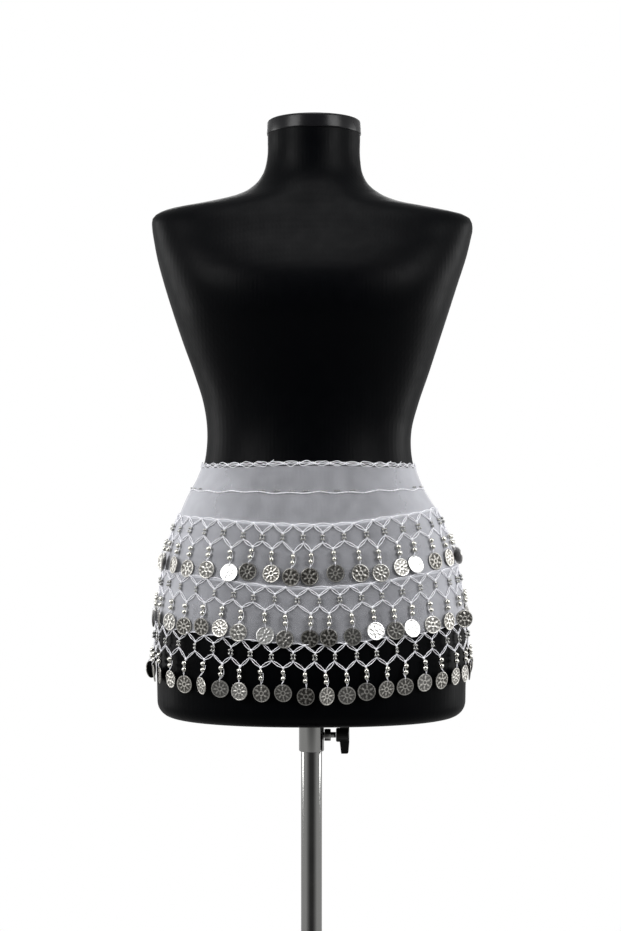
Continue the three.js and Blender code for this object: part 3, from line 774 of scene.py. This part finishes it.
def add_panel():
    angles = np.linspace(-BELT_END, BELT_END, 381)
    heights = []
    for above, below, share in panel_levels():
        heights.append(line_height(above, angles) * (1 - share) + line_height(below, angles) * share)
    heights = np.array(heights)
    scallop = 1.5 * MM * abs(np.sin(angles * 2.3 * MM / (22.3 * MM) * math.pi)) * (abs(angles) < 150)
    for rows_up in range(8):
        heights[-1 - rows_up] += scallop * (1 - rows_up / 8)
    relief = cloth_relief(angles[None, :], heights)
    outer = form_point(angles[None, :], heights, relief)
    inner = form_point(angles[None, :], heights, relief - CLOTH_THICKNESS)
    layers = np.zeros_like(heights)
    for line in (UPPER_LINE, MIDDLE_LINE, HEM_LINE):
        away = (heights - line_height(line, angles)[None, :]) / (1.4 * MM)
        layers = np.maximum(layers, np.exp(-(away ** 2)))
    # Denser towards the flanks: painted sheen that whitens the sides as grazing light does.
    side = np.clip((abs(angles) - 30) / 60, 0, 1)
    layers = np.maximum(layers, 0.6 * (side * side * (3 - 2 * side))[None, :])
    uv = np.stack(np.broadcast_arrays(angles[None, :] * 2.4 * MM, heights), axis=-1)
    panel = shell_from("hip_cloth", outer, inner, uv, layers, CHIFFON)
    finish_piece(panel, "form", "chiffon", "belt_panel")
    return panel


def add_tie(side):
    """The gathered top band from the cloth's end to the knot, pleated along its length."""
    name = "tie_left" if side < 0 else "tie_right"
    rings = []
    sides = 48
    turn = np.linspace(0, 2 * math.pi, sides, endpoint=False)
    for share in np.linspace(0, 1, 15):
        tall = (44 * (1 - share) ** 1.4 + 15 * (1 - (1 - share) ** 1.4)) * MM
        thick = (2.2 + 6.6 * share) * MM
        middle = (257 + 2 * share) * MM
        pleat = 1 + 0.16 * np.sin(turn * 9 + 3 * share) * min(1, share * 4)
        height = middle + np.sin(turn) * tall / 2 * (1 + 0.03 * np.sin(turn * 5))
        offset = 1.2 * MM + thick / 2 + np.cos(turn) * thick / 2 * pleat
        angle = side * (157.4 + 15.5 * share)
        rings.append(form_point(angle, height, offset))
    points = np.concatenate(rings)
    corners, sizes = capped_faces(len(rings), sides)
    if side > 0:
        corners = corners[::-1]
        sizes = sizes[::-1]
    shells = Shells()
    shells.add(points, corners, sizes, points[corners][:, [0, 2]], layers=0.5)
    tie = shells.build(f"{name}_gathered", GATHERED)
    finish_piece(tie, "form", "chiffon", name)
    return tie


def add_knot():
    """An overhand knot of pleated cloth."""
    low, high = (np.array(corner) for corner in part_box("tie_knot"))
    centre = (low + high) / 2
    half = (high - low) / 2
    steps, sides = 110, 26
    t = np.linspace(0, 2 * math.pi, steps, endpoint=False)
    thick = 4.6 * MM
    route = np.stack([
        (np.sin(t) + 2 * np.sin(2 * t)) / 3 * (half[0] - thick),
        np.sin(3 * t) * (half[1] - thick),
        (np.cos(t) - 2 * np.cos(2 * t)) / 3 * (half[2] - thick),
    ], axis=-1)
    tangent = np.roll(route, -1, axis=0) - np.roll(route, 1, axis=0)
    tangent /= np.linalg.norm(tangent, axis=1, keepdims=True)
    across = np.cross(tangent, (0.0, 1.0, 0.0))
    across /= np.linalg.norm(across, axis=1, keepdims=True)
    lift = np.cross(across, tangent)
    turn = np.linspace(0, 2 * math.pi, sides, endpoint=False)
    pleat = thick * (1 + 0.13 * np.sin(turn[None, :] * 6 + 2 * np.sin(t)[:, None]))
    ring = across[:, None] * np.cos(turn)[None, :, None] + lift[:, None] * np.sin(turn)[None, :, None]
    points = (centre + route[:, None] + ring * pleat[..., None]).reshape(-1, 3)
    shells = Shells()
    add_quads(shells, points, looped_quads(steps, sides), points[:, [0, 2]], layers=0.5)
    knot = shells.build("tie_knot_wrapped", GATHERED)
    finish_piece(knot, "form", "chiffon", "tie_knot")
    return knot


def add_tail(side):
    """A free end below the knot, gathered at the top and rippling at its cut edge."""
    name = "tail_left" if side < 0 else "tail_right"
    share = np.linspace(0, 1, 60)[:, None]
    across = np.linspace(0, 1, 26)[None, :]
    near = 1 + 1.2 * share
    far = 6 + 8.5 * share ** 0.7
    angle = 180 - side * (near + (far - near) * across)
    height = (243.7 * MM - share * 0.15) + 3 * MM * share ** 3 * np.sin(across * 7)
    ripple = np.sin(across * 19 + 2 * share) * (1.1 - 0.5 * share) + 0.3 * np.sin(share * 9)
    offset = 2.6 * MM + ripple * MM
    outer = form_point(angle, height, offset)
    inner = form_point(angle, height, offset - CLOTH_THICKNESS)
    if side > 0:
        outer = outer[:, ::-1]
        inner = inner[:, ::-1]
    uv = np.stack(np.broadcast_arrays(across * 0.06, height), axis=-1)
    layers = np.broadcast_to(0.8 * (1 - share) ** 3, height.shape)
    tail = shell_from(f"{name}_hanging", outer, inner, uv, layers, CHIFFON)
    finish_piece(tail, "form", "chiffon", name)
    return tail


# ---------------------------------------------------------------- coins and beads

COIN_RADIUS = 9.7 * MM
HOLE_DROP = 1.9 * MM             # from the coin's edge to the middle of its hole


def coin_relief(radius, turn, motif):
    """Height of a coin's stamped face, 0 to 1: rim, petals, ring of dots and inner ring."""
    share = radius / COIN_RADIUS
    rim = np.exp(-(((share - 0.93) / 0.045) ** 2))
    ring = np.exp(-(((share - 0.24) / 0.07) ** 2))
    petal_count = 8 if motif else 6
    petals = (0.5 + 0.5 * np.cos(turn * petal_count)) ** 2 * np.exp(-(((share - 0.52) / 0.2) ** 4))
    spots = (0.5 + 0.5 * np.cos(turn * 2 * petal_count + 1)) ** 3
    dots = spots * np.exp(-(((share - 0.78) / 0.07) ** 2))
    return np.clip(np.maximum.reduce([rim, ring, petals, dots]), 0, 1)


def coin_template(motif):
    """One coin lying in XZ with its face towards -Y, and its hole near the top."""
    rings = np.array([
        0.05, 0.14, 0.2, 0.26, 0.34, 0.44, 0.54, 0.63, 0.7, 0.77, 0.83, 0.89, 0.93, 0.97, 1.0,
    ])
    turn = np.linspace(0, 2 * math.pi, 64, endpoint=False)
    radius = rings[:, None] * COIN_RADIUS * np.ones_like(turn)[None, :]
    angle = np.broadcast_to(turn[None, :], radius.shape)
    relief = coin_relief(radius, angle, motif)
    relief[-1] = 0.3
    x = radius * np.sin(angle)
    z = radius * np.cos(angle)
    hole = np.exp(-(((x ** 2 + (z - COIN_RADIUS + HOLE_DROP) ** 2) / (0.9 * MM) ** 2) ** 2))
    relief = relief * (1 - hole)
    face = np.stack([x, -(0.35 + 0.3 * relief) * MM + hole * 0.5 * MM, z], axis=-1)
    back_rings = np.array([1.0, 0.95, 0.6, 0.05])[:, None] * COIN_RADIUS
    back_depth = np.array([0.35, 0.5, 0.4, 0.4])[:, None] * MM
    back = np.stack([
        back_rings * np.sin(turn),
        np.broadcast_to(back_depth, (4, len(turn))),
        back_rings * np.cos(turn),
    ], axis=-1)
    points = np.concatenate([face.reshape(-1, 3), back.reshape(-1, 3)])
    corners, sizes = capped_faces(len(rings) + len(back_rings), len(turn))
    values = np.concatenate([relief.ravel(), np.full(back_rings.size * len(turn), 0.6)])
    return points, corners, sizes, values


BEAD_RADIUS = 2.95 * MM
SEED_RADIUS = 1.6 * MM
BEAD_LIFT = 3.0 * MM             # from the cloth to the middle of a round bead
BEAD_DROPS = (4.3 * MM, 11.0 * MM)
COIN_DROP = 26.6 * MM            # from the knot above a coin to the coin's middle
KNOT_LIFT = 1.0 * MM

BEAD_PROFILE = [
    (0.2, 0.86), (0.34, 0.95), (0.62, 0.8), (0.87, 0.5), (1, 0),
    (0.87, -0.5), (0.62, -0.8), (0.34, -0.95), (0.2, -0.86),
]
COINS = [coin_template(motif) for motif in (0, 1)]
ROUND_BEAD = revolve(BEAD_PROFILE[::-1], 16, closed=True)
SEED_BEAD = revolve(BEAD_PROFILE[::-2], 8, closed=True)


class Fringe:
    """One row of the coin fringe: thread net, seed beads, round beads and coins."""

    def __init__(self, line, spacing, phase, painted_glint):
        self.line = line
        self.angles, self.along = angle_table(line)
        self.spacing = spacing
        self.phase = phase
        # Indices of the coins that get a painted glint.
        self.painted_glint = painted_glint
        self.threads, self.seeds, self.beads, self.coins = Shells(), Shells(), Shells(), Shells()

    def place(self, spot, lift):
        """World points for (distance along the line, drop below it, extra lift) spots."""
        spot = np.atleast_2d(spot)
        angle = np.interp(spot[:, 0], self.along, self.angles)
        height = line_height(self.line, angle) - spot[:, 1]
        inside = np.maximum(cloth_relief(angle, height), CLOTH_OUTSIDE)
        return form_point(angle, height, inside + lift)

    def leaf(self, start, end, open_by):
        """A loop of two threads between two spots, open in the middle."""
        t = np.linspace(0, 1, 9)[:, None]
        start, end = np.array(start), np.array(end)
        along = end - start
        aside = np.array([along[1], -along[0]]) / np.linalg.norm(along)
        for direction in (-1, 1):
            bow = direction * open_by * rng.uniform(0.6, 1.25) * np.sin(np.pi * t) ** 0.8
            spots = start + along * t + aside * bow
            lift = (0.6 + 0.5 * np.sin(np.pi * t[:, 0])) * MM
            strand(self.threads, self.place(spots, lift), 0.42 * MM)

    def knot(self, spot, radius, squash=(1, 1, 1.1)):
        blob(self.threads, self.place(spot, 0.9 * MM)[0], radius, squash)

    def seed_cluster(self, top, bottom):
        """Two columns of two seed beads on a pair of threads, turned by chance."""
        yaw = rng.uniform(-65, 65)
        for column in (-1, 1):
            shift = column * 1.65 * MM * math.cos(math.radians(yaw))
            depth = column * 1.0 * MM * math.sin(math.radians(yaw))
            middle = (np.array(top) + np.array(bottom)) / 2
            ends = np.array([top, middle + (shift, 0), bottom])
            strand(self.threads, self.place(ends, (1.0 * MM, 1.9 * MM + depth, 1.0 * MM)), 0.35 * MM)
            for row in (-1, 1):
                spot = middle + np.array([shift, row * 1.9 * MM])
                centre = self.place(spot, 1.9 * MM + depth)[0]
                points, corners, sizes = SEED_BEAD
                tumble = turn_matrix("X", rng.normal(0, 14)) @ turn_matrix("Y", rng.normal(0, 14))
                self.seeds.add(centre + points @ tumble.T * SEED_RADIUS, corners, sizes)

    def dangle(self, index, spot):
        """Two round beads and a coin below a knot, with a loop of thread at their side."""
        sway = rng.normal(0, 0.05)
        angle = float(np.interp(spot[0], self.along, self.angles))
        painted_glint = index in self.painted_glint
        for drop in BEAD_DROPS:
            here = np.array(spot) + np.array([sway * drop, drop])
            centre = self.place(here, BEAD_LIFT)[0]
            points, corners, sizes = ROUND_BEAD
            tumble = turn_matrix("Y", rng.normal(0, 10)) @ turn_matrix("X", rng.normal(0, 10))
            self.beads.add(centre + points @ tumble.T * BEAD_RADIUS, corners, sizes)
        yaw = rng.normal(0, 9) if rng.random() > 0.14 else rng.uniform(25, 48) * rng.choice([-1, 1])
        # The chosen coins are tilted up and painted near-white below: a painted glint.
        yaw = 4 if painted_glint else yaw
        pitch = -7.0 if painted_glint else rng.normal(3.5, 3.5)
        coin_drop = COIN_DROP + rng.normal(0, 0.7) * MM
        here = np.array(spot) + np.array([sway * coin_drop, coin_drop])
        coin_angle = float(np.interp(here[0], self.along, self.angles))
        height = float(line_height(self.line, coin_angle)) - here[1]
        stand_off = 1.4 * MM + COIN_RADIUS * abs(math.sin(math.radians(yaw))) * 0.75
        stand_off += 1.2 * MM * (index % 2)
        offset = float(cloth_relief(coin_angle, height)) + stand_off
        centre, right, up, outward = frame_at(coin_angle, height, offset)
        local = turn_matrix("Z", yaw) @ turn_matrix("X", pitch) @ turn_matrix("Y", rng.normal(0, 5))
        basis = np.stack([right, -outward, up], axis=-1) @ local
        points, corners, sizes, relief = COINS[int(rng.random() < 0.5)]
        uvs = points[corners][:, [0, 2]] + rng.uniform(0, 1, 2)
        # Chosen coins get a painted near-white glint; the rest get a dull tone that varies at random.
        tone = 0.9 if painted_glint else float(np.clip(rng.normal(0.06, 0.07), 0, 0.3))
        self.coins.add(centre + points @ basis.T, corners, sizes, uvs, relief=relief, tone=tone)
        hole = centre + basis @ np.array([0, -0.6 * MM, COIN_RADIUS - HOLE_DROP])
        below_bead = np.array(spot) + np.array([sway, 1]) * 12.8 * MM
        bottom_bead = self.place(below_bead, BEAD_LIFT)[0]
        top = self.place(spot, KNOT_LIFT)[0]
        over = centre + basis @ np.array([0, -1.2 * MM, COIN_RADIUS + 0.6 * MM])
        strand(self.threads, np.array([top, bottom_bead, over, hole]), 0.32 * MM)
        bow = rng.choice([1, 1, 1, -1]) * rng.uniform(2.6, 4.2) * MM
        side_spots = np.array([spot, (spot[0] + bow, spot[1] + 6 * MM), (spot[0] + bow, spot[1] + 12 * MM)])
        loop = np.concatenate([self.place(side_spots, (1.0 * MM, 2.4 * MM, 2.6 * MM)), [over]])
        t = np.linspace(0, 1, 11)[:, None]
        ends = (1 - t) ** 3 * loop[0] + t ** 3 * loop[3]
        bend = 3 * t * (1 - t) ** 2 * loop[1] + 3 * t ** 2 * (1 - t) * loop[2]
        strand(self.threads, ends + bend, 0.3 * MM)

    def make(self, name, node):
        first = math.ceil((self.along[0] + 6 * MM - self.phase) / self.spacing)
        last = math.floor((self.along[-1] - 6 * MM - self.phase) / self.spacing)
        count = last - first + 1
        jitter = rng.normal(0, 0.7 * MM, (count, 8))
        anchors = [
            ((first + i) * self.spacing + self.phase + jitter[i, 0], jitter[i, 1] * 0.5) for i in range(count)
        ]
        tops, bottoms = [], []
        for i in range(count - 1):
            middle = (anchors[i][0] + anchors[i + 1][0]) / 2
            tops.append((middle + jitter[i, 2], 8.6 * MM + jitter[i, 3]))
            bottoms.append((middle + jitter[i, 2] + jitter[i, 4], 18.2 * MM + jitter[i, 5]))
        hangers = []
        for i in range(1, count - 1):
            middle = (bottoms[i - 1][0] + bottoms[i][0]) / 2
            hangers.append((first + i, (middle + 1.3 * jitter[i, 6], 26.9 * MM + 1.3 * jitter[i, 7])))
        for i in range(count - 1):
            self.header(anchors[i], anchors[i + 1])
            self.leaf(anchors[i], tops[i], 1.15 * MM)
            self.leaf(anchors[i + 1], tops[i], 1.15 * MM)
            self.seed_cluster(tops[i], bottoms[i])
            self.knot(tops[i], 1.2 * MM, (1, 1, 1.3))
            self.knot(bottoms[i], 1.05 * MM)
        for i, (index, spot) in enumerate(hangers):
            self.leaf(bottoms[i], spot, 1.25 * MM)
            self.leaf(bottoms[i + 1], spot, 1.25 * MM)
            self.knot(spot, 1.3 * MM, (1, 1, 1.3))
            self.dangle(index, spot)
        for anchor in anchors:
            self.knot(anchor, 1.35 * MM, (1.2, 1, 1))
        net = finish_piece(self.threads.build(f"{name}_net", THREAD), "form", "crochet_thread", node)
        finish_piece(self.seeds.build(f"{name}_seed_beads", SEED), "form", "coin_silver")
        finish_piece(self.beads.build(f"{name}_round_beads", BEAD), "form", "coin_silver")
        finish_piece(self.coins.build(f"{name}_coins", COIN, 60), "form", "coin_silver")
        return net

    def header(self, start, end):
        """The thread between two anchors, arching up a little."""
        t = np.linspace(0, 1, 8)[:, None]
        spots = np.array(start) + (np.array(end) - np.array(start)) * t
        spots[:, 1] -= (rng.uniform(1.0, 2.2) * MM * np.sin(np.pi * t[:, 0]))
        strand(self.threads, self.place(spots, 0.45 * MM), 0.5 * MM)


# ---------------------------------------------------------------- edging and braid

def add_edging():
    """Lens-shaped crochet loops standing on the top edge, meeting at crossed knots."""
    shells = Shells()
    angles, along = angle_table(TOP_LINE)
    pitch = 17 * MM
    count = int((along[-1] - along[0]) / pitch)
    t = np.linspace(0, 1, 13)
    middle = (along[0] + along[-1] - count * pitch) / 2

    def place(distance, rise, lift):
        angle = np.interp(distance, along, angles)
        return form_point(angle, line_height(TOP_LINE, angle) + rise, lift)

    for loop in range(count):
        start = middle + loop * pitch
        tall = rng.uniform(2.2, 2.9) * MM
        for rise in (1.0, 0.35, -0.3, -1.0):
            wave = rng.normal(0, 0.12, 3)
            bow = rise * np.sin(np.pi * t) ** 0.7
            bow = bow + wave[0] * np.sin(2 * np.pi * t) + wave[1] * np.sin(3 * np.pi * t)
            lift = (1.9 + 0.5 * np.sin(np.pi * t * 2 + rise * 4)) * MM
            strand(shells, place(start + t * pitch, 2.6 * MM + bow * tall, lift), 0.4 * MM)
        for lean in (-1, 1):
            across = start + np.array([-1.6, 0, 1.6]) * MM
            rise = (2.6 + lean * np.array([-1.5, 0, 1.5])) * MM
            strand(shells, place(across, rise, 2.5 * MM), 0.6 * MM)
        if rng.random() < 0.2:
            stub = place(start + np.array([1, 4, 6.5]) * MM, np.array([3, 5, 6.6]) * MM, 2.6 * MM)
            strand(shells, stub, 0.42 * MM)
    return finish_piece(shells.build("top_edging_crochet", THREAD), "form", "crochet_thread", "top_edging")


def add_braid():
    """Couched threads along a slightly wandering line, with thicker stitches and a few beads."""
    shells, seeds = Shells(), Shells()
    angles, along = angle_table(BRAID_LINE)
    distance = np.arange(along[0] + 2 * MM, along[-1] - 2 * MM, 1.8 * MM)

    def place(at, rise, lift):
        angle = np.interp(at, along, angles)
        height = line_height(BRAID_LINE, angle) + rise
        return form_point(angle, height, cloth_relief(angle, height) + lift)

    def wander(at):
        return 0.7 * MM * np.sin(at * 190) + 0.5 * MM * np.sin(at * 77 + 1)

    for phase in (0, math.pi):
        twist = 0.45 * MM * np.sin(distance * 700 + phase)
        strand(shells, place(distance, wander(distance) + twist, 0.5 * MM), 0.34 * MM, 5)
    at = along[0] + 8 * MM
    while at < along[-1] - 14 * MM:
        length = rng.uniform(7, 11) * MM
        spots = np.linspace(at, at + length, 8)
        taper = np.array([0.5, 0.9, 1, 1, 1, 1, 0.9, 0.5])
        strand(shells, place(spots, wander(spots), 0.8 * MM), 0.62 * MM * taper)
        if rng.random() < 0.3:
            for bead in range(3):
                points, corners, sizes = SEED_BEAD
                centre = place(at + bead * 2.6 * MM, 2.2 * MM, 0.9 * MM)
                seeds.add(centre + points * 0.95 * MM, corners, sizes)
        at += rng.uniform(15, 19) * MM
    finish_piece(seeds.build("braid_beads", SEED), "form", "coin_silver")
    return finish_piece(shells.build("upper_braid_couched", THREAD), "form", "crochet_thread", "upper_braid")


# ---------------------------------------------------------------- build

add_camera()
add_lights()
add_world()
add_floor()
add_torso()
add_cap()
add_pole()
add_base()
add_sleeve()
add_clamp()
panel = add_panel()
edging = add_edging()
braid = add_braid()
nets = [
    # The last argument lists the coins that get a painted glint.
    Fringe(UPPER_LINE, 21.8 * MM, 2 * MM, (5, -4)).make("upper", "fringe_upper"),
    Fringe(MIDDLE_LINE, 22.8 * MM, -4 * MM, (-2, 3, 5)).make("middle", "fringe_middle"),
    Fringe(HEM_LINE, 22.3 * MM, -8 * MM, ()).make("hem", "fringe_hem"),
]
ties = [add_tie(side) for side in (-1, 1)]
knot = add_knot()
tails = [add_tail(side) for side in (-1, 1)]

bpy.context.scene.view_settings.view_transform = "Standard"
